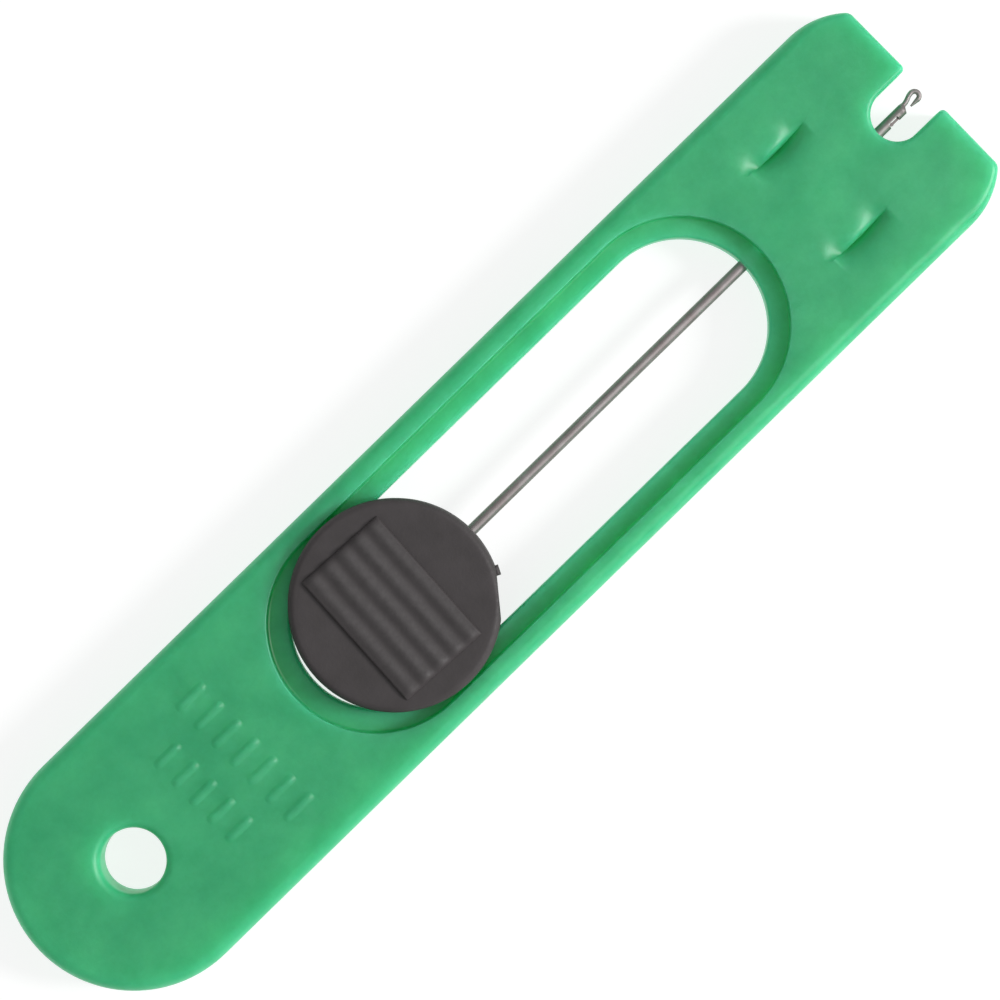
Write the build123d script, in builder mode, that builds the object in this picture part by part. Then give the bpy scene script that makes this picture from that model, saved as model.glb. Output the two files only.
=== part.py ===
"""Retractable splicing needle with a thumb slide, drawn in millimetres.

+X runs along the tool towards the needle tip, +Z out of the thumb face.
The origin is on the back face, midway along the handle.
"""

from math import acos, degrees
import os

from build123d import *

os.makedirs("parts", exist_ok=True)

# Handle: one flat moulding, round at the tail and square shouldered at the head.
LENGTH = 94.2
WIDTH = 20.0
THICK = 4.0
EDGE_ROUND = 0.9
SHOULDER_RADIUS = 6.5
SHOULDER_REACH = 4.6
HALF_LENGTH = LENGTH / 2
HALF_WIDTH = WIDTH / 2
TAIL_X = HALF_WIDTH - HALF_LENGTH
SHOULDER_X = HALF_LENGTH - SHOULDER_REACH
SHOULDER_Y = HALF_WIDTH - SHOULDER_RADIUS
SHOULDER_ANGLE = degrees(acos(SHOULDER_REACH / SHOULDER_RADIUS))
END_CORNER_ROUND = 1.0

# Hang hole in the tail, concentric with its round end.
HANG_HOLE_RADIUS = 2.5
HANG_HOLE_BEVEL = 0.4

# Window that the slide runs in, with a ledge sunk round it on both faces.
WINDOW_LENGTH = 45.7
WINDOW_WIDTH = 13.5
WINDOW_X = 5.15
REBATE_LENGTH = 49.2
REBATE_WIDTH = 16.7
REBATE_X = 5.0
LEDGE_DEPTH = 1.0
REBATE_RIM_ROUND = 0.3
WINDOW_FRONT_X = WINDOW_X + WINDOW_LENGTH / 2
WEB_TOP = THICK - LEDGE_DEPTH

# Notch in the head that the hook sits in, and the bore that leads to it.
NOTCH_WIDTH = 4.1
NOTCH_DEPTH = 4.9
NOTCH_RADIUS = NOTCH_WIDTH / 2
NOTCH_CENTRE_X = HALF_LENGTH - NOTCH_DEPTH + NOTCH_RADIUS
NOTCH_EDGE_ROUND = 0.35
BORE_RADIUS = 0.53
NEEDLE_Z = THICK / 2

# Creased finger dimples in the thumb face, either side of the bore.
DIMPLE_X = 35.8
DIMPLE_Y = 4.55
DIMPLE_DEPTH = 0.5
DIMPLE_LONG_RADIUS = 7.0
DIMPLE_SIDE_REACH = 2.4
DIMPLE_SIDE_RISE = 1.0

# Two rows of low raised grip marks on the tail.
MARK_ROWS = ((-25.2, 7, 2.9), (-29.6, 5, 2.6))
MARK_PITCH = 1.95
MARK_WIDTH = 0.5
MARK_HEIGHT = 0.12

# Slide: a thumb button and a rear button that snap together through the window.
SLIDE_X = -9.2
BUTTON_RADIUS = 8.15
BUTTON_TOP = 5.0
RIM_ROUND = 0.35
SLIDING_GAP = 0.05
FLANGE_BASE = WEB_TOP + SLIDING_GAP
HUB_LENGTH = 16.3
HUB_WIDTH = 13.3
REAR_BASE = 0.1
REAR_RIM_ROUND = 0.25
REAR_TOP = LEDGE_DEPTH - SLIDING_GAP
PEG_RADIUS = 1.0
PEG_HOLE_RADIUS = 1.02
PEG_SPACING = 9.0
PEG_TOP = 3.6
PEG_HOLE_TOP = 3.7

# Thumb ribs, the moulding gate on the thumb button, and the flat trimmed on both buttons' rims.
RIB_COUNT = 5
RIB_PITCH = 1.54
RIB_WIDTH = 1.4
RIB_LENGTH = 12.0
RIB_HEIGHT = 0.5
RIB_ROUND = 0.45
RIB_SLANT = -2.5
RIBS_X = SLIDE_X - 0.3
GATE_ANGLE = -25.5
GATE_WIDTH = 0.7
GATE_PROUD = 0.25
GATE_BASE = 3.6
GATE_HEIGHT = 0.7
TRIM_ANGLE = -38.7
TRIM_DEPTH = 0.24
TRIM_REACH = 1.0

# Needle: a wire with a bent tail gripped in the slide, and a hook at the tip.
WIRE_RADIUS = 0.45
GROOVE_RADIUS = 0.46
TAIL_BEND_X = -12.0
TAIL_LEG = 3.4
TAIL_BEND_RADIUS = 1.0
CHEEK_END_X = 45.1
RELIEF_START_X = 43.45
RELIEF_END_X = 44.4
RELIEF_TOP_Y = -0.08
SLIT_HEIGHT = 0.28
SLIT_FLOOR_Y = 0.2
STEM_X = 45.4
STEM_Y = 0.2
STEM_RADIUS = 0.2
HOOK_X = 46.47
HOOK_Y = 0.1
HOOK_RADIUS = 0.36
POINT_LENGTH = 0.75
POINT_RADIUS = 0.07

# Latch that swings over on its rivet to close the hook.
PIVOT_X = 44.8
PIVOT_Y = -0.1
RIVET_RADIUS = 0.13
RIVET_LENGTH = 0.84
RIVET_HOLE_RADIUS = 0.14
LATCH_HOLE_RADIUS = 0.17
LATCH_EYE_RADIUS = 0.28
LATCH_THICK = 0.22
LATCH_BLADE_WIDTH = 0.2
LATCH_BLADE_Y = -0.25
LATCH_REACH = 1.25
LATCH_SPOON_RADIUS = 0.14

# How far a cutting shape runs past the face it cuts.
OVERCUT = 1.0


def needle_wire(radius):
    """The needle's wire, from the end of the latch cheeks to its bent tail."""
    with BuildPart() as wire:
        with BuildLine() as path:
            FilletPolyline(
                (CHEEK_END_X, 0, NEEDLE_Z),
                (TAIL_BEND_X, 0, NEEDLE_Z),
                (TAIL_BEND_X, -TAIL_LEG, NEEDLE_Z),
                radius=TAIL_BEND_RADIUS,
            )
        with BuildSketch(Plane.YZ.offset(CHEEK_END_X)):
            with Locations((0, NEEDLE_Z)):
                Circle(radius)
        sweep(path=path.wire())
    return wire.part


tail_groove = needle_wire(GROOVE_RADIUS)

with BuildPart() as handle:
    with BuildSketch() as outline:
        with BuildLine():
            tail = CenterArc((TAIL_X, 0), HALF_WIDTH, 90, 180)
            Line(tail @ 1, (SHOULDER_X, -HALF_WIDTH))
            near = CenterArc(
                (SHOULDER_X, -SHOULDER_Y), SHOULDER_RADIUS, -90, 90 - SHOULDER_ANGLE
            )
            far = CenterArc(
                (SHOULDER_X, SHOULDER_Y),
                SHOULDER_RADIUS,
                SHOULDER_ANGLE,
                90 - SHOULDER_ANGLE,
            )
            Line(near @ 1, far @ 0)
            Line(far @ 1, tail @ 0)
        make_face()
        fillet(outline.vertices().group_by(Axis.X)[-1], END_CORNER_ROUND)
    extrude(amount=THICK)
    fillet(handle.edges().group_by(Axis.Z)[-1], EDGE_ROUND)
    fillet(handle.edges().group_by(Axis.Z)[0], EDGE_ROUND)

    # Ledges sunk into both faces, and the window through the web between them.
    for ledge_base in (0, WEB_TOP):
        with BuildSketch(Plane.XY.offset(ledge_base)):
            with Locations((REBATE_X, 0)):
                SlotOverall(REBATE_LENGTH, REBATE_WIDTH)
        extrude(amount=LEDGE_DEPTH, mode=Mode.SUBTRACT)
    for level in (0, -1):
        broad_face = handle.faces().filter_by(Axis.Z).group_by(Axis.Z)[level][0]
        fillet(broad_face.inner_wires()[0].edges(), REBATE_RIM_ROUND)
    with BuildSketch():
        with Locations((WINDOW_X, 0)):
            SlotOverall(WINDOW_LENGTH, WINDOW_WIDTH)
    extrude(amount=THICK, mode=Mode.SUBTRACT)

    # Hang hole, bevelled on both faces.
    with Locations((TAIL_X, 0, 0)):
        Hole(HANG_HOLE_RADIUS)
    chamfer(handle.edges(Select.LAST).filter_by(GeomType.CIRCLE), HANG_HOLE_BEVEL)

    # Notch in the head, and the needle's bore between it and the window.
    with BuildSketch():
        with Locations((NOTCH_CENTRE_X, 0)):
            Circle(NOTCH_RADIUS)
        with Locations((NOTCH_CENTRE_X + NOTCH_DEPTH / 2, 0)):
            Rectangle(NOTCH_DEPTH, NOTCH_WIDTH)
    extrude(amount=THICK, mode=Mode.SUBTRACT)
    notch_edges = handle.edges(Select.LAST)
    fillet(notch_edges.group_by(Axis.Z)[0] + notch_edges.group_by(Axis.Z)[-1], NOTCH_EDGE_ROUND)
    with BuildSketch(Plane.YZ.offset(WINDOW_FRONT_X - OVERCUT)):
        with Locations((0, NEEDLE_Z)):
            Circle(BORE_RADIUS)
    extrude(amount=NOTCH_CENTRE_X - WINDOW_FRONT_X + OVERCUT, mode=Mode.SUBTRACT)

    # Finger dimples, cut as by a wheel with a V-shaped rim.
    for side in (-1, 1):
        with BuildSketch(Plane.YZ.offset(DIMPLE_X)):
            with Locations((side * DIMPLE_Y, THICK - DIMPLE_DEPTH)):
                Polygon(
                    (0, 0),
                    (DIMPLE_SIDE_REACH, DIMPLE_SIDE_RISE),
                    (-DIMPLE_SIDE_REACH, DIMPLE_SIDE_RISE),
                    align=None,
                )
        revolve(
            axis=Axis(
                (DIMPLE_X, 0, THICK - DIMPLE_DEPTH + DIMPLE_LONG_RADIUS), (0, 1, 0)
            ),
            mode=Mode.SUBTRACT,
        )

    # Grip marks on the thumb face.
    with BuildSketch(Plane.XY.offset(THICK)):
        for mark_x, mark_count, mark_length in MARK_ROWS:
            with Locations((mark_x, 0)):
                with GridLocations(MARK_WIDTH, MARK_PITCH, 1, mark_count):
                    SlotOverall(mark_length, MARK_WIDTH)
    extrude(amount=MARK_HEIGHT)
handle.part.label = "handle"
export_step(handle.part, "parts/handle.step")

with BuildPart() as rim_trim:
    with BuildSketch():
        with Locations((SLIDE_X, 0)):
            with PolarLocations(BUTTON_RADIUS - TRIM_DEPTH + TRIM_REACH, 1, start_angle=TRIM_ANGLE):
                Rectangle(2 * TRIM_REACH, BUTTON_RADIUS)
    extrude(amount=BUTTON_TOP)

with BuildPart() as thumb_button:
    with BuildSketch(Plane.XY.offset(FLANGE_BASE)):
        with Locations((SLIDE_X, 0)):
            Circle(BUTTON_RADIUS)
    extrude(amount=BUTTON_TOP - FLANGE_BASE)
    fillet(thumb_button.edges().group_by(Axis.Z)[-1], RIM_ROUND)
    add(rim_trim, mode=Mode.SUBTRACT)
    with BuildSketch(Plane.XY.offset(NEEDLE_Z)):
        with Locations((SLIDE_X, 0)):
            SlotOverall(HUB_LENGTH, HUB_WIDTH)
    extrude(amount=FLANGE_BASE - NEEDLE_Z)
    with BuildSketch(Plane.XY.offset(BUTTON_TOP)):
        with Locations(Location((RIBS_X, 0, 0), (0, 0, RIB_SLANT))):
            with GridLocations(RIB_PITCH, RIB_LENGTH, RIB_COUNT, 1):
                Rectangle(RIB_WIDTH, RIB_LENGTH)
    extrude(amount=RIB_HEIGHT)
    fillet(thumb_button.edges().group_by(Axis.Z)[-1], RIB_ROUND)
    with BuildSketch(Plane.XY.offset(GATE_BASE)):
        with Locations((SLIDE_X, 0)):
            with PolarLocations(BUTTON_RADIUS, 1, start_angle=GATE_ANGLE):
                Rectangle(2 * GATE_PROUD, GATE_WIDTH)
    extrude(amount=GATE_HEIGHT)
    with Locations((SLIDE_X, 0, NEEDLE_Z)):
        with GridLocations(0, PEG_SPACING, 1, 2):
            Cylinder(
                PEG_HOLE_RADIUS,
                PEG_HOLE_TOP - NEEDLE_Z,
                align=(Align.CENTER, Align.CENTER, Align.MIN),
                mode=Mode.SUBTRACT,
            )
    add(tail_groove, mode=Mode.SUBTRACT)
thumb_button.part.label = "thumb_button"
export_step(thumb_button.part, "parts/thumb_button.step")

with BuildPart() as rear_button:
    with BuildSketch(Plane.XY.offset(REAR_BASE)):
        with Locations((SLIDE_X, 0)):
            Circle(BUTTON_RADIUS)
    extrude(amount=REAR_TOP - REAR_BASE)
    fillet(rear_button.edges().group_by(Axis.Z)[0], REAR_RIM_ROUND)
    add(rim_trim, mode=Mode.SUBTRACT)
    with BuildSketch(Plane.XY.offset(REAR_TOP)):
        with Locations((SLIDE_X, 0)):
            SlotOverall(HUB_LENGTH, HUB_WIDTH)
    extrude(amount=NEEDLE_Z - REAR_TOP)
    with BuildSketch(Plane.XY.offset(NEEDLE_Z)):
        with Locations((SLIDE_X, 0)):
            with GridLocations(0, PEG_SPACING, 1, 2):
                Circle(PEG_RADIUS)
    extrude(amount=PEG_TOP - NEEDLE_Z)
    add(tail_groove, mode=Mode.SUBTRACT)
rear_button.part.label = "rear_button"
export_step(rear_button.part, "parts/rear_button.step")

with BuildPart() as needle:
    add(needle_wire(WIRE_RADIUS))

    # Tapered neck from the cheeks to the stem that carries the hook.
    with BuildSketch(Plane.YZ.offset(CHEEK_END_X)):
        with Locations((0, NEEDLE_Z)):
            Circle(WIRE_RADIUS)
    with BuildSketch(Plane.YZ.offset(STEM_X)):
        with Locations((STEM_Y, NEEDLE_Z)):
            Circle(STEM_RADIUS)
    loft()

    # Hook, curled over from the stem and ending in a point that faces back.
    with BuildLine() as curl:
        rise = Spline(
            (STEM_X, STEM_Y, NEEDLE_Z),
            (HOOK_X, HOOK_Y + HOOK_RADIUS, NEEDLE_Z),
            tangents=((1, 0, 0), (1, 0, 0)),
        )
        RadiusArc(
            rise @ 1, (HOOK_X, HOOK_Y - HOOK_RADIUS, NEEDLE_Z), HOOK_RADIUS
        )
    with BuildSketch(Plane.YZ.offset(STEM_X)):
        with Locations((STEM_Y, NEEDLE_Z)):
            Circle(STEM_RADIUS)
    sweep(path=curl.wire())
    with BuildSketch(Plane.YZ.offset(HOOK_X)):
        with Locations((HOOK_Y - HOOK_RADIUS, NEEDLE_Z)):
            Circle(STEM_RADIUS)
    with BuildSketch(Plane.YZ.offset(HOOK_X - POINT_LENGTH)):
        with Locations((HOOK_Y - HOOK_RADIUS, NEEDLE_Z)):
            Circle(POINT_RADIUS)
    loft()

    # Relief beside the open latch, the slit it swings in and its rivet's hole.
    with BuildSketch(Plane.XY.offset(NEEDLE_Z - OVERCUT)):
        with Locations((RELIEF_START_X, RELIEF_TOP_Y)):
            Rectangle(
                RELIEF_END_X - RELIEF_START_X, OVERCUT, align=(Align.MIN, Align.MAX)
            )
    extrude(amount=2 * OVERCUT, mode=Mode.SUBTRACT)
    with BuildSketch(Plane.XY.offset(NEEDLE_Z - SLIT_HEIGHT / 2)):
        with Locations((RELIEF_START_X, SLIT_FLOOR_Y)):
            Rectangle(STEM_X - RELIEF_START_X, OVERCUT, align=(Align.MIN, Align.MAX))
    extrude(amount=SLIT_HEIGHT, mode=Mode.SUBTRACT)
    with Locations((PIVOT_X, PIVOT_Y, NEEDLE_Z)):
        Cylinder(RIVET_HOLE_RADIUS, 2 * OVERCUT, mode=Mode.SUBTRACT)
needle.part.label = "needle"
export_step(needle.part, "parts/needle.step")

with BuildPart() as needle_latch:
    with BuildSketch(Plane.XY.offset(NEEDLE_Z - LATCH_THICK / 2)):
        with Locations((PIVOT_X, PIVOT_Y)):
            Circle(LATCH_EYE_RADIUS)
        with Locations((PIVOT_X, LATCH_BLADE_Y)):
            Rectangle(LATCH_REACH, LATCH_BLADE_WIDTH, align=(Align.MAX, Align.CENTER))
        with Locations((PIVOT_X - LATCH_REACH + LATCH_SPOON_RADIUS, LATCH_BLADE_Y)):
            Circle(LATCH_SPOON_RADIUS)
        with Locations((PIVOT_X, PIVOT_Y)):
            Circle(LATCH_HOLE_RADIUS, mode=Mode.SUBTRACT)
    extrude(amount=LATCH_THICK)
needle_latch.part.label = "needle_latch"
export_step(needle_latch.part, "parts/needle_latch.step")

with BuildPart() as latch_rivet:
    with Locations((PIVOT_X, PIVOT_Y, NEEDLE_Z)):
        Cylinder(RIVET_RADIUS, RIVET_LENGTH)
latch_rivet.part.label = "latch_rivet"
export_step(latch_rivet.part, "parts/latch_rivet.step")
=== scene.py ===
"""Looks of the retractable splicing needle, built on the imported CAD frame.

Shapes are worked out in millimetres in the frame's own axes: +X to the needle's tip, +Z out of the
thumb face. They turn into metres as each mesh is made.
"""

import math

import bmesh
import bpy
import numpy as np
from mathutils import Matrix, Vector
from mathutils.geometry import delaunay_2d_cdt


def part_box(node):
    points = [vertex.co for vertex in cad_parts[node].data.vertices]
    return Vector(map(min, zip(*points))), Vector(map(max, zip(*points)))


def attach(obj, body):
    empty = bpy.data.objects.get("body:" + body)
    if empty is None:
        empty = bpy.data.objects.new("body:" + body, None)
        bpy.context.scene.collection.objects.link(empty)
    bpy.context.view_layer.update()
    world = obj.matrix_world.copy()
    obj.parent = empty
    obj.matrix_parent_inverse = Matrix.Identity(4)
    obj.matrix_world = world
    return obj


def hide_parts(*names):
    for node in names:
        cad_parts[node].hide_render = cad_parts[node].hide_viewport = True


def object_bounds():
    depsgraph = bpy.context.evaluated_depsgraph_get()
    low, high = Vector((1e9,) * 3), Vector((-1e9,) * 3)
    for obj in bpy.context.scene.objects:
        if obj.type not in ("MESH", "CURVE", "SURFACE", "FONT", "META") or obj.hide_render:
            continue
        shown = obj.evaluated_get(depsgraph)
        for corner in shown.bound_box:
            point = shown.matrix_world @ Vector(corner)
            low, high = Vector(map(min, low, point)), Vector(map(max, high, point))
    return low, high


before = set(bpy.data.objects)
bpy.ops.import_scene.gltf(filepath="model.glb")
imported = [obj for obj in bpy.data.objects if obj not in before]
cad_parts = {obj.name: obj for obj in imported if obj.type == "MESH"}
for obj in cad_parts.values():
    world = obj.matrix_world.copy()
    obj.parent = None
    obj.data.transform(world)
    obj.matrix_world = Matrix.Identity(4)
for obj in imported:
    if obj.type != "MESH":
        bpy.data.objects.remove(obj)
cad_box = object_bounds()
MM = 0.001

# ---------------------------------------------------------------- sizes, mm
handle_high = np.array(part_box("handle")[1]) / MM
button_low = np.array(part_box("thumb_button")[0]) / MM
rear_low, rear_high = (np.array(corner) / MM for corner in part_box("rear_button"))
HALF_LENGTH, HALF_WIDTH = handle_high[:2]
THICK = 4.0
TAIL_X = HALF_WIDTH - HALF_LENGTH
SHOULDER_RADIUS, SHOULDER_RUN = 6.5, 4.6
SHOULDER_X = HALF_LENGTH - SHOULDER_RUN
SHOULDER_Y = HALF_WIDTH - SHOULDER_RADIUS
END_CORNER = 0.85
EDGE_ROUND = 1.0
CORNER_ROUND = 0.5
SEAM_HALF, SEAM_DEPTH = 0.12, 0.03
NOTCH_RADIUS, NOTCH_DEPTH = 2.05, 4.9
NOTCH_X = HALF_LENGTH - NOTCH_DEPTH + NOTCH_RADIUS
NOTCH_LIP = 0.4
NOTCH_ROUND = 0.36

# The window and the recess round it: middle, half of the straight run, and half width.
WINDOW_X, WINDOW_RUN, WINDOW_HALF = 5.1, 16.15, 6.75
REBATE_X, REBATE_RUN, REBATE_HALF = 5.0, 16.25, 8.35
LEDGE_DEPTH = 1.0
RIM_ROUND, FOOT_ROUND, WINDOW_ROUND = 0.07, 0.22, 0.24

HOLE_RADIUS = 2.5
HOLE_ROUND = 0.7
BORE_RADIUS, BORE_X, BORE_LENGTH = 0.53, 35.0, 16

# The two dimples beside the bore. A lobe has a height, a place and a spread along the crease, and a
# near flank is a sum of slopes that each have a share and a fall in mm.
DIMPLE_X, DIMPLE_Y, DIMPLE_REACH = 35.9, 4.55, 2.75
DIMPLE_DEPTH, DIMPLE_BOW = 1.05, 0.15
DIMPLE_FADE, DIMPLE_BAND = 1.25, 2.4
CREASE_FALL, LOBE_FALL = 0.13, 0.85
LOBES = ((0.55, -0.74, 0.34), (0.42, 0.56, 0.32))
NEAR_SLOPES = ((0.3, 0.25), (0.7, 0.95))

# Rows of raised marks on the tail: place along the handle, how many, and half the length of one.
MARK_ROWS = ((-25.2, 7, 1.45), (-29.6, 5, 1.3))
MARK_PITCH, MARK_HALF, MARK_HEIGHT = 1.95, 0.42, 0.14

# The slide: its discs, hub, ribs, the flat on its rim and the moulding gate beside the flat.
SLIDE_X = (rear_low[0] + rear_high[0]) / 2
BUTTON_RADIUS = (rear_high[0] - rear_low[0]) / 2
BUTTON_TOP = 5.0
THUMB_EDGE, REAR_EDGE = 0.55, 0.27
LEDGE_GAP = 0.05
TOP_RINGS = (7.3, 6.5, 5.0, 3.0)
DISH = ((0.6, 0.12), (0.75, 0.2), (5.6, 0.2), (6.0, 0.14), (6.25, 0))
HUB_HALF, HUB_RUN, HUB_SINK = 6.65, 1.5, 0.2
RIBS_X = SLIDE_X - 0.3
RIBS_LENGTH, RIBS_WIDTH, RIBS_END = 12.0, 7.7, 0.6
RIB_COUNT = 5
RIB_SLANT = math.radians(-2.5)
RIB_HEIGHT, RIB_VALLEY = 0.46, 0.68
BLOCK_EDGE, BLOCK_FALL = 0.05, 0.16
TRIM_ANGLE, TRIM_DEPTH = math.radians(-38.7), 0.24
GATE_ANGLE, GATE_Z = math.radians(-25.5), 4.25
GATE_LENGTH, GATE_WIDTH, GATE_HEIGHT = 0.8, 0.5, 0.25

# Mesh spacing: of the broad faces' points, and how far those stay from outlines and details.
GRID_STEP = 1.5
OUTLINE_CLEAR, DIMPLE_CLEAR, MARK_CLEAR = 0.25, 3.4, 2.0
WELD = 2e-7


# ---------------------------------------------------------------- mesh tools
def arc(cx, cy, radius, start, end, step=5.0, facing=-1.0):
    """Points and normals along an arc, in degrees; facing is 1 where the solid lies outside it."""
    turn = np.radians(np.linspace(start, end, max(2, round(abs(end - start) / step) + 1)))
    ray = np.stack([np.cos(turn), np.sin(turn)], 1)
    return np.array([cx, cy]) + radius * ray, facing * ray


def run(start, end, count, normal=(0, 0)):
    """Points between two others, which are left out, and the one normal they share."""
    t = np.linspace(0, 1, count + 2)[1:-1, None]
    return np.array(start) + (np.array(end) - start) * t, np.tile(normal, (count, 1))


def handle_outline():
    """The handle's outline as points, normals that point into it, and the radius of its edge."""
    rise = math.sqrt((SHOULDER_RADIUS - END_CORNER) ** 2 - (HALF_LENGTH - END_CORNER - SHOULDER_X) ** 2)
    corner_x, corner_y = HALF_LENGTH - END_CORNER, SHOULDER_Y + rise
    lean = math.degrees(math.atan2(rise, corner_x - SHOULDER_X))
    lip_x, lip_y = HALF_LENGTH - NOTCH_LIP, NOTCH_RADIUS + NOTCH_LIP
    near_side = [
        (run((TAIL_X, -HALF_WIDTH), (SHOULDER_X, -HALF_WIDTH), 50, (0, 1)), EDGE_ROUND, EDGE_ROUND),
        (arc(SHOULDER_X, -SHOULDER_Y, SHOULDER_RADIUS, -90, -lean, 3), EDGE_ROUND, CORNER_ROUND),
        (arc(corner_x, -corner_y, END_CORNER, -lean, 0, 7), CORNER_ROUND, CORNER_ROUND),
        (run((HALF_LENGTH, -corner_y), (HALF_LENGTH, -lip_y), 9, (-1, 0)), CORNER_ROUND, NOTCH_ROUND),
        (arc(lip_x, -lip_y, NOTCH_LIP, 0, 90, 15), NOTCH_ROUND, NOTCH_ROUND),
        (run((lip_x, -NOTCH_RADIUS), (NOTCH_X, -NOTCH_RADIUS), 6, (0, -1)), NOTCH_ROUND, NOTCH_ROUND),
        (arc(NOTCH_X, 0, NOTCH_RADIUS, -90, -180, 6, 1.0), NOTCH_ROUND, NOTCH_ROUND),
    ]
    p = np.concatenate([points for (points, _), _, _ in near_side])
    n = np.concatenate([normals for (_, normals), _, _ in near_side])
    r = np.concatenate([np.linspace(a, b, len(points)) for (points, _), a, b in near_side])
    across = np.array([1, -1])
    tail, tail_normals = arc(TAIL_X, 0, HALF_WIDTH, 90, 270, 3)
    return (
        np.concatenate([p[:-1], p[::-1] * across, tail]),
        np.concatenate([n[:-1], n[::-1] * across, tail_normals]),
        np.concatenate([r[:-1], r[::-1], np.full(len(tail), EDGE_ROUND)]),
    )


def stadium(half, cx, run_half):
    """A closed loop of that half width about a straight run."""
    front = arc(cx + run_half, 0, half, -90, 90, 3)[0]
    far = run((cx + run_half, half), (cx - run_half, half), 27)[0]
    rear = arc(cx - run_half, 0, half, 90, 270, 3)[0]
    near = run((cx - run_half, -half), (cx + run_half, -half), 27)[0]
    return np.concatenate([front, far, rear, near])


def window_loop(half):
    """The window's outline at a half width between the window's own and the ledge's."""
    share = min(1.0, max(0.0, (half - WINDOW_HALF) / (REBATE_HALF - WINDOW_HALF)))
    cx = WINDOW_X + (REBATE_X - WINDOW_X) * share
    return stadium(half, cx, WINDOW_RUN + (REBATE_RUN - WINDOW_RUN) * share)


def circle(cx, radius, step=3.0):
    turn = np.radians(np.arange(0, 360, step))
    return np.array([cx, 0]) + radius * np.stack([np.cos(turn), np.sin(turn)], 1)


def quarter(a, z, radius, start, end, count=7):
    """Profile points on part of a circle about (a, z)."""
    turn = np.radians(np.linspace(start, end, count))
    return [(a + radius * math.cos(t), z + radius * math.sin(t)) for t in turn]


def at_height(loop, z):
    return np.column_stack([loop, np.full(len(loop), z)])


def skin(bm, loops, flip=False):
    """Quads between successive closed loops that have the same number of points."""
    rows = [[bm.verts.new(Vector(point) * MM) for point in loop] for loop in loops]
    for low, high in zip(rows, rows[1:]):
        for i in range(len(low)):
            j = (i + 1) % len(low)
            quad = (low[i], low[j], high[j], high[i])
            bm.faces.new(quad[::-1] if flip else quad)
    return rows


def inside(points, loop):
    """Which points lie inside a closed loop."""
    x, y = points[:, :1], points[:, 1:]
    ax, ay = loop[:, 0], loop[:, 1]
    bx, by = np.roll(ax, -1), np.roll(ay, -1)
    crosses = (ay > y) != (by > y)
    with np.errstate(divide="ignore", invalid="ignore"):
        at = (bx - ax) * (y - ay) / (by - ay) + ax
    return (crosses & (x < at)).sum(1) % 2 == 1


def fill(bm, outer, holes, extra, height, up=True):
    """A broad face between an outer loop and holes, through extra points a little inside them."""
    keep = inside(extra, outer)
    for hole in holes:
        keep &= ~inside(extra, hole)
    for loop in (outer, *holes):
        keep &= np.linalg.norm(extra[:, None] - loop[None], axis=2).min(1) > OUTLINE_CLEAR
    points, edges = [], []
    for loop in (outer, *holes):
        edges += [(len(points) + i, len(points) + (i + 1) % len(loop)) for i in range(len(loop))]
        points += [Vector(point) for point in loop]
    points += [Vector(point) for point in extra[keep]]
    flat, _, triangles, *_ = delaunay_2d_cdt(points, edges, [], 0, 1e-6)
    flat = np.array([tuple(point) for point in flat])
    triangles = np.array(triangles)
    middle = flat[triangles].mean(1)
    solid = inside(middle, outer)
    for hole in holes:
        solid &= ~inside(middle, hole)
    verts = [bm.verts.new(Vector((x, y, z)) * MM) for (x, y), z in zip(flat, height(flat))]
    for triangle in triangles[solid]:
        a, b, c = flat[triangle]
        turns_left = (b[0] - a[0]) * (c[1] - a[1]) - (b[1] - a[1]) * (c[0] - a[0]) > 0
        order = triangle if turns_left == up else triangle[::-1]
        bm.faces.new([verts[i] for i in order])


def finish_mesh(name, bm):
    bmesh.ops.remove_doubles(bm, verts=bm.verts, dist=WELD)
    bmesh.ops.delete(bm, geom=[v for v in bm.verts if not v.link_faces], context="VERTS")
    for face in bm.faces:
        face.smooth = True
    mesh = bpy.data.meshes.new(name)
    bm.to_mesh(mesh)
    bm.free()
    obj = bpy.data.objects.new(name, mesh)
    bpy.context.scene.collection.objects.link(obj)
    return obj


def weighted(obj):
    """Keeps broad faces flat up to their rounded edges."""
    normals = obj.modifiers.new("normals", "WEIGHTED_NORMAL")
    normals.mode = "FACE_AREA"
    normals.weight = 90
    normals.keep_sharp = True


def single_crown(side):
    return math.sqrt(max(0.0, 1 - side**2))


def ribbed_crown(side):
    """Five soft ribs side by side, a little lower at the two edges of the block."""
    edge = min(1.0, (1 - abs(side)) / BLOCK_EDGE)
    wave = 1 - (1 - RIB_VALLEY) * math.cos(RIB_COUNT / 2 * math.pi * (side + 1)) ** 2
    return (1 - BLOCK_FALL * side**2) * wave * math.sqrt(1 - (1 - edge) ** 2)


def bar(bm, centre, length, width, height, angle, end, crown, across=13, sink=0.3):
    """A low bar along +Y turned by angle, whose height across it follows the crown's profile."""
    along = 41
    c, s = math.cos(angle), math.sin(angle)
    rows = []
    for j in range(along):
        y = length / 2 * math.sin(math.pi * (j / (along - 1) - 0.5))
        past = max(0.0, abs(y) - (length / 2 - end)) / end
        tall = math.sqrt(max(0.0, 1 - past**2))
        row = []
        for i in range(across):
            side = 2 * i / (across - 1) - 1
            x = side * width / 2
            z = height * tall * crown(side)
            if i in (0, across - 1) or j in (0, along - 1):
                z = -sink
            row.append(bm.verts.new((Vector((x * c - y * s, x * s + y * c, z)) + Vector(centre)) * MM))
        rows.append(row)
    for a, b in zip(rows, rows[1:]):
        for i in range(across - 1):
            bm.faces.new((a[i], a[i + 1], b[i + 1], b[i]))
    base = rows[0] + [row[-1] for row in rows[1:]]
    base += rows[-1][-2::-1] + [row[0] for row in rows[-2:0:-1]]
    bm.faces.new(base[::-1])


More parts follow.
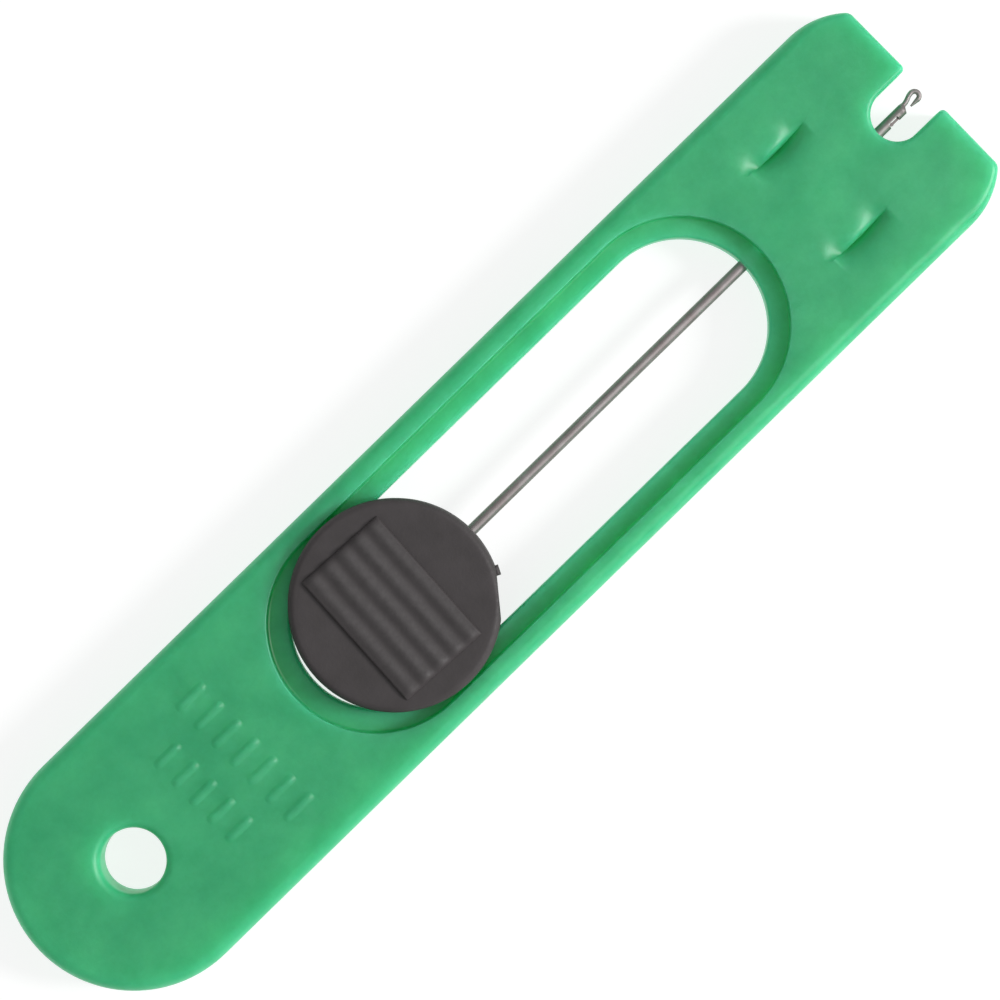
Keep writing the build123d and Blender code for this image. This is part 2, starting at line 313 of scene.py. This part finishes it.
# ---------------------------------------------------------------- handle
def marks():
    """Centres and half lengths of two plain rows of low raised bars on the tail."""
    for x, count, reach in MARK_ROWS:
        for i in range(count):
            yield x, (i - (count - 1) / 2) * MARK_PITCH, reach


def mark_points():
    """Points close enough together to shape the bars."""
    blocks = []
    past_end, past_side = 0.05, 0.04
    for x, y, reach in marks():
        along = x + (reach + past_end) * np.sin(np.linspace(-math.pi / 2, math.pi / 2, 15))
        across = y + np.linspace(-MARK_HALF - past_side, MARK_HALF + past_side, 11)
        blocks.append(np.stack(np.meshgrid(along, across), 2).reshape(-1, 2))
    return np.concatenate(blocks)


def crease(x, side):
    """Where a dimple's crease lies across the thumb face."""
    t = np.clip((x - DIMPLE_X) / DIMPLE_REACH, -1, 1)
    return side * DIMPLE_Y - DIMPLE_BOW * (1 - t**2)


def thumb_face(p):
    """Height of the thumb face: flat but for a pinched dimple either side of the bore.

    A dimple's far flank is short and steep, with a shallow lobe at each end, and its near flank is a
    long gentle slope.
    """
    z = np.full(len(p), THICK)
    for side in (-1, 1):
        t = (p[:, 0] - DIMPLE_X) / DIMPLE_REACH
        off = p[:, 1] - crease(p[:, 0], side)
        away = np.abs(off)
        fade = np.clip(1 - t**2, 0, 1) ** 0.8
        end = np.clip(DIMPLE_FADE - away / DIMPLE_BAND, 0, 1)
        lobes = sum(tall * np.exp(-(((t - at) / spread) ** 2)) for tall, at, spread in LOBES)
        steep = np.exp(-away / CREASE_FALL)
        far = fade * steep + lobes * (np.exp(-away / LOBE_FALL) - steep)
        near = fade * sum(share * np.exp(-away / fall) for share, fall in NEAR_SLOPES)
        z -= DIMPLE_DEPTH * end * np.where(off > 0, far, near)
    for x, y, reach in marks():
        past = np.clip((np.abs(p[:, 0] - x) - reach + MARK_HALF) / MARK_HALF, 0, 1)
        across = np.clip(np.abs(p[:, 1] - y) / MARK_HALF, 0, 1)
        z += MARK_HEIGHT * np.clip(1 - past**2 - across**2, 0, 1) ** 1.2
    return z


def dimple_points(side):
    """Points in rows that follow a dimple's crease, closest together beside it."""
    reach, step, band = 1.12 * DIMPLE_REACH, 0.12, 2.9
    x = np.arange(DIMPLE_X - reach, DIMPLE_X + reach, step)
    share = np.linspace(-1, 1, 41)
    rows = band * np.sign(share) * np.abs(share) ** 1.8
    return np.concatenate([np.column_stack([x, crease(x, side) + off]) for off in rows])


def make_handle():
    bm = bmesh.new()
    p, n, r = handle_outline()

    def rolled(turn, up):
        """The outline part way round its rounded edge: 0 at the side wall and 1 at the face."""
        a = math.radians(90 * turn)
        z = (1 - math.sin(a)) * r
        return np.column_stack([p + n * ((1 - math.cos(a)) * r)[:, None], THICK - z if up else z])

    turns = np.linspace(1, 0, 9)
    middle = THICK / 2
    seam = [(p, middle + SEAM_HALF), (p + n * SEAM_DEPTH, middle), (p, middle - SEAM_HALF)]
    rings = [rolled(turn, True) for turn in turns]
    rings += [at_height(loop, z) for loop, z in seam]
    rings += [rolled(turn, False) for turn in turns[::-1]]
    skin(bm, rings, flip=True)

    # Rim, wall, ledge and window edge, and the same again below.
    ledge = THICK - LEDGE_DEPTH
    rim = quarter(-REBATE_HALF - RIM_ROUND, THICK - RIM_ROUND, RIM_ROUND, 90, 0)
    rim += quarter(-REBATE_HALF + FOOT_ROUND, ledge + FOOT_ROUND, FOOT_ROUND, 180, 270, 5)
    rim += quarter(-WINDOW_HALF - WINDOW_ROUND, ledge - WINDOW_ROUND, WINDOW_ROUND, 90, 0, 6)
    rim += [(a, THICK - z) for a, z in rim[::-1]]
    window = [at_height(window_loop(-a), z) for a, z in rim]
    skin(bm, window)

    # Hang hole with soft edges.
    edge = quarter(-HOLE_RADIUS - HOLE_ROUND, THICK - HOLE_ROUND, HOLE_ROUND, 90, 0)
    edge += [(a, THICK - z) for a, z in edge[::-1]]
    hole = [at_height(circle(TAIL_X, -a), z) for a, z in edge]
    skin(bm, hole)

    grid_x = np.arange(-HALF_LENGTH, HALF_LENGTH, GRID_STEP)
    grid_y = np.arange(-HALF_WIDTH, HALF_WIDTH, GRID_STEP)
    xs, ys = np.meshgrid(grid_x, grid_y)
    coarse = np.column_stack([xs.ravel(), ys.ravel()])
    clear = np.abs(coarse[:, 0] - DIMPLE_X) > DIMPLE_CLEAR
    for row_x, _, _ in MARK_ROWS:
        clear &= np.abs(coarse[:, 0] - row_x) > MARK_CLEAR
    extra = np.concatenate([dimple_points(-1), dimple_points(1), mark_points(), coarse[clear]])
    fill(bm, rings[0][:, :2], [window[0][:, :2], hole[0][:, :2]], extra, thumb_face)
    back = [loops[-1][:, :2] for loops in (rings, window, hole)]
    fill(bm, back[0], back[1:], coarse, lambda q: np.zeros(len(q)), up=False)
    obj = finish_mesh("handle_moulding", bm)

    # The needle's bore through the head.
    cutter = bmesh.new()
    along_x = Matrix.Translation(Vector((BORE_X, 0, middle)) * MM) @ Matrix.Rotation(math.pi / 2, 4, "Y")
    bmesh.ops.create_cone(
        cutter,
        cap_ends=True,
        segments=32,
        radius1=BORE_RADIUS * MM,
        radius2=BORE_RADIUS * MM,
        depth=BORE_LENGTH * MM,
        matrix=along_x,
    )
    tool = finish_mesh("bore_cutter", cutter)
    bore = obj.modifiers.new("bore", "BOOLEAN")
    bore.object = tool
    bore.solver = "EXACT"
    bpy.context.view_layer.objects.active = obj
    bpy.ops.object.modifier_apply(modifier=bore.name)
    bpy.data.objects.remove(tool)
    for poly in obj.data.polygons:
        poly.use_smooth = True
    weighted(obj)
    return obj


# ---------------------------------------------------------------- slide
def add_disc(bm, profile):
    """A solid of revolution about the slide's own axis, with a flat trimmed on its rim."""
    ray = np.array([math.cos(TRIM_ANGLE), math.sin(TRIM_ANGLE)])
    rings = []
    for a, z in profile:
        ring = circle(SLIDE_X, a, 2.5)
        past = (ring - np.array([SLIDE_X, 0])) @ ray - (BUTTON_RADIUS - TRIM_DEPTH)
        rings.append(at_height(ring - np.clip(past, 0, None)[:, None] * ray, z))
    rows = skin(bm, rings)
    bm.faces.new(rows[-1])
    bm.faces.new(rows[0][::-1])


def add_hub(bm, low, high):
    loop = stadium(HUB_HALF, SLIDE_X, HUB_RUN)
    rows = skin(bm, [at_height(loop, low), at_height(loop, high)])
    bm.faces.new(rows[0][::-1])
    bm.faces.new(rows[-1])


def make_thumb_button():
    bm = bmesh.new()
    under, chamfer, inside_hub = THICK - LEDGE_DEPTH + LEDGE_GAP, 0.1, 6.0
    profile = [(inside_hub, under), (BUTTON_RADIUS - chamfer, under), (BUTTON_RADIUS, under + chamfer)]
    profile += quarter(BUTTON_RADIUS - THUMB_EDGE, BUTTON_TOP - THUMB_EDGE, THUMB_EDGE, 0, 90, 9)
    profile += [(radius, BUTTON_TOP) for radius in TOP_RINGS]
    add_disc(bm, profile)
    add_hub(bm, button_low[2], under + HUB_SINK)
    ribs = (RIBS_X, 0, BUTTON_TOP)
    bar(bm, ribs, RIBS_LENGTH, RIBS_WIDTH, RIB_HEIGHT, RIB_SLANT, RIBS_END, ribbed_crown, 121)
    gate_x = SLIDE_X + BUTTON_RADIUS * math.cos(GATE_ANGLE)
    gate = (gate_x, BUTTON_RADIUS * math.sin(GATE_ANGLE), GATE_Z)
    bar(bm, gate, GATE_LENGTH, GATE_WIDTH, GATE_HEIGHT, GATE_ANGLE, 0.2, single_crown, sink=0.6)
    obj = finish_mesh("thumb_button_moulding", bm)
    weighted(obj)
    return obj


def make_rear_button():
    """The clip-on disc behind the handle, with a shallow dished middle."""
    bm = bmesh.new()
    base, top, chamfer = rear_low[2], LEDGE_DEPTH - LEDGE_GAP, 0.08
    profile = [(radius, base + depth) for radius, depth in DISH]
    profile += quarter(BUTTON_RADIUS - REAR_EDGE, base + REAR_EDGE, REAR_EDGE, -90, 0)
    profile += [(BUTTON_RADIUS, top - chamfer), (BUTTON_RADIUS - chamfer, top)]
    add_disc(bm, profile)
    add_hub(bm, top - HUB_SINK, THICK / 2)
    obj = finish_mesh("rear_button_moulding", bm)
    weighted(obj)
    return obj


# ---------------------------------------------------------------- materials
class Surface:
    """A Principled material and the node tree that feeds it."""

    def __init__(self, name):
        self.material = bpy.data.materials.new(name)
        self.material.use_nodes = True
        self.tree = self.material.node_tree
        self.shader = self.tree.nodes["Principled BSDF"]
        self.coord = self.tree.nodes.new("ShaderNodeTexCoord").outputs["Object"]

    def node(self, kind, **links):
        made = self.tree.nodes.new(kind)
        for name, source in links.items():
            self.tree.links.new(source, made.inputs[name])
        return made

    def set(self, **values):
        for name, value in values.items():
            self.shader.inputs[name.replace("_", " ")].default_value = value

    def feed(self, **sources):
        for name, source in sources.items():
            self.tree.links.new(source, self.shader.inputs[name.replace("_", " ")])

    def noise(self, scale, detail, roughness=0.55, coord=None):
        """Noise whose scale is in cells per metre."""
        made = self.node("ShaderNodeTexNoise", Vector=coord or self.coord)
        made.inputs["Scale"].default_value = scale
        made.inputs["Detail"].default_value = detail
        made.inputs["Roughness"].default_value = roughness
        return made.outputs["Fac"]

    def shades(self, fac, low, high, start=0.3, stop=0.7):
        made = self.node("ShaderNodeValToRGB", Fac=fac)
        for stop_at, colour, element in zip((start, stop), (low, high), made.color_ramp.elements):
            element.position = stop_at
            element.color = (*colour, 1)
        return made.outputs["Color"]

    def spread(self, value, low, high, start=0.0, stop=1.0):
        made = self.node("ShaderNodeMapRange", Value=value)
        for name, number in (("From Min", start), ("From Max", stop), ("To Min", low), ("To Max", high)):
            made.inputs[name].default_value = number
        return made.outputs["Result"]

    def blend(self, a, b, fac=1.0, mode="MULTIPLY"):
        made = self.tree.nodes.new("ShaderNodeMix")
        made.data_type = "RGBA"
        made.blend_type = mode
        if isinstance(fac, float):
            made.inputs[0].default_value = fac
        else:
            self.tree.links.new(fac, made.inputs[0])
        self.tree.links.new(a, made.inputs[6])
        self.tree.links.new(b, made.inputs[7])
        return made.outputs[2]

    def bump(self, height, strength, distance, under=None):
        made = self.node("ShaderNodeBump", Height=height)
        made.inputs["Strength"].default_value = strength
        made.inputs["Distance"].default_value = distance
        if under is not None:
            self.tree.links.new(under, made.inputs["Normal"])
        return made.outputs["Normal"]


def green_plastic():
    """Translucent moulded plastic with a fine matt grain, and a painted glow in the needle's bore that
    lifts the shade the needle casts inside the plastic.
    """
    bore_x, squash, glow_full_radius, glow_end_radius = 35.5, 0.03, 0.00056, 0.0006
    s = Surface("green_plastic_moulded")
    flow = s.shades(s.noise(230, 3, 0.6), (0.040, 0.475, 0.210), (0.072, 0.570, 0.262))
    speck = s.noise(2600, 3, 0.7)
    s.feed(Base_Color=s.blend(flow, s.shades(speck, (0.90, 0.94, 0.91), (1.0, 1.0, 1.0))))
    s.feed(Roughness=s.spread(speck, 0.36, 0.48, 0.3, 0.7))
    ripple = s.bump(s.noise(380, 1, 0.5), 0.3, 0.00012)
    s.feed(Normal=s.bump(s.noise(4600, 2, 0.6), 0.3, 0.00002, ripple))
    # Painted light: a green glow round the needle's bore lifts the shade the needle casts inside the
    # plastic.
    bore = s.node("ShaderNodeMapping", Vector=s.coord)
    bore.inputs["Location"].default_value = (-bore_x * squash * MM, 0, -THICK * MM / 2)
    bore.inputs["Scale"].default_value = (squash, 1, 1)
    radius = s.node("ShaderNodeVectorMath", Vector=bore.outputs["Vector"])
    radius.operation = "LENGTH"
    s.feed(Emission_Strength=s.spread(radius.outputs["Value"], 2.0, 0.0, glow_full_radius, glow_end_radius))
    s.set(Emission_Color=(0.06, 0.4, 0.18, 1), Subsurface_Weight=0.8)
    s.set(Specular_IOR_Level=0.6, Subsurface_Radius=(0.6, 1.0, 0.9), Subsurface_Scale=0.006)
    return s.material


def dark_plastic():
    """Charcoal moulded plastic, a little lighter on top of the ribs."""
    s = Surface("dark_plastic_moulded")
    flow = s.shades(s.noise(450, 3, 0.6), (0.050, 0.043, 0.044), (0.066, 0.057, 0.059))
    # The tops of the ribs, above 5.25 mm, take a lighter colour.
    height = s.node("ShaderNodeSeparateXYZ", Vector=s.coord).outputs["Z"]
    rib_top_mask = s.spread(height, 0.0, 1.0, 0.00525, 0.0055)
    rib_top_colour = s.shades(s.noise(1500, 3, 0.6), (0.060, 0.054, 0.055), (0.085, 0.078, 0.079))
    s.feed(Base_Color=s.blend(flow, rib_top_colour, rib_top_mask, "MIX"))
    grain = s.noise(3600, 3, 0.6)
    s.feed(Roughness=s.spread(grain, 0.54, 0.7, 0.3, 0.7))
    s.feed(Normal=s.bump(grain, 0.4, 0.00003))
    return s.material


def wire_steel():
    """Drawn steel wire: fine lines along its length and a dull brown cast."""
    s = Surface("needle_steel_drawn")
    stretch = s.node("ShaderNodeMapping", Vector=s.coord)
    stretch.inputs["Scale"].default_value = (0.02, 1.0, 1.0)
    drawn = s.noise(9000, 2, 0.5, stretch.outputs["Vector"])
    lines = s.shades(drawn, (0.36, 0.33, 0.33), (0.50, 0.465, 0.465))
    s.feed(Base_Color=s.blend(lines, s.shades(s.noise(700, 3), (0.82, 0.76, 0.76), (1.0, 1.0, 1.0))))
    s.feed(Roughness=s.spread(drawn, 0.5, 0.7))
    s.feed(Normal=s.bump(drawn, 0.2, 0.00001))
    s.set(Metallic=1.0)
    return s.material


green, dark, steel = green_plastic(), dark_plastic(), wire_steel()


def place(piece, mat, body, node=None):
    """Gives a piece its material and the body it rides on, and hides the CAD node it stands for."""
    piece.data.materials.append(mat)
    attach(piece, body)
    if node:
        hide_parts(node)


place(make_handle(), green, "handle", "handle")
place(make_thumb_button(), dark, "slide", "thumb_button")
place(make_rear_button(), dark, "slide", "rear_button")
for name in ("needle", "needle_latch", "latch_rivet"):
    for material_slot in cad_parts[name].material_slots:
        material_slot.material = steel

# ---------------------------------------------------------------- stage
floor_mesh = bpy.data.meshes.new("floor")
FLOOR_HALF, FLOOR_GAP = 10.0, 0.02 * MM
corners = [(x * FLOOR_HALF, y * FLOOR_HALF, -FLOOR_GAP) for x, y in ((-1, -1), (1, -1), (1, 1), (-1, 1))]
floor_mesh.from_pydata(corners, [], [(0, 1, 2, 3)])
floor = bpy.data.objects.new("floor", floor_mesh)
bpy.context.scene.collection.objects.link(floor)
paper = Surface("floor_paper")
paper.set(Base_Color=(0.3, 0.3, 0.3, 1), Roughness=0.9, Specular_IOR_Level=0.1)
paper.set(Emission_Color=(1, 1, 1, 1), Emission_Strength=0.82)
floor_mesh.materials.append(paper.material)

world = bpy.data.worlds.new("studio")
world.use_nodes = True
backdrop = world.node_tree.nodes["Background"]
backdrop.inputs["Color"].default_value = (1, 1, 1, 1)
backdrop.inputs["Strength"].default_value = 0.35
bpy.context.scene.world = world
bpy.context.scene.view_settings.view_transform = "Standard"

centre = (Vector(cad_box[0]) + Vector(cad_box[1])) / 2


def softbox(name, offset, size, power, gloss):
    """A round softbox, in metres and watts, that gives either highlights alone or all but them."""
    light = bpy.data.lights.new(name, "AREA")
    light.shape = "DISK"
    light.size = size
    light.energy = power
    obj = bpy.data.objects.new(name, light)
    obj.location = centre + Vector(offset)
    obj.rotation_euler = (-Vector(offset)).to_track_quat("-Z", "Y").to_euler()
    obj.visible_glossy = gloss
    obj.visible_diffuse = not gloss
    bpy.context.scene.collection.objects.link(obj)


softbox("key", (0.556, -0.564, 0.421), 0.24, 6.9, False)
softbox("sheen", (0.44, -0.44, 0.64), 0.45, 5.8, True)

# ---------------------------------------------------------------- camera
# Looks straight down on the thumb face. HALF_VIEW is half the view's width at a distance of one.
HALF_VIEW = 0.15625
EYE_X, EYE_Y, EYE_RISE = 0.00209, 0.00014, 0.2434
TOOL_SLANT = math.radians(44.32)
camera = bpy.data.cameras.new("camera")
camera.sensor_width = 36
camera.angle = 2 * math.atan(HALF_VIEW)
camera.clip_start = 0.01
eye = bpy.data.objects.new("camera", camera)
eye.location = (EYE_X, EYE_Y, THICK * MM + EYE_RISE)
eye.rotation_euler = (0, 0, -TOOL_SLANT)
bpy.context.scene.collection.objects.link(eye)
bpy.context.scene.camera = eye
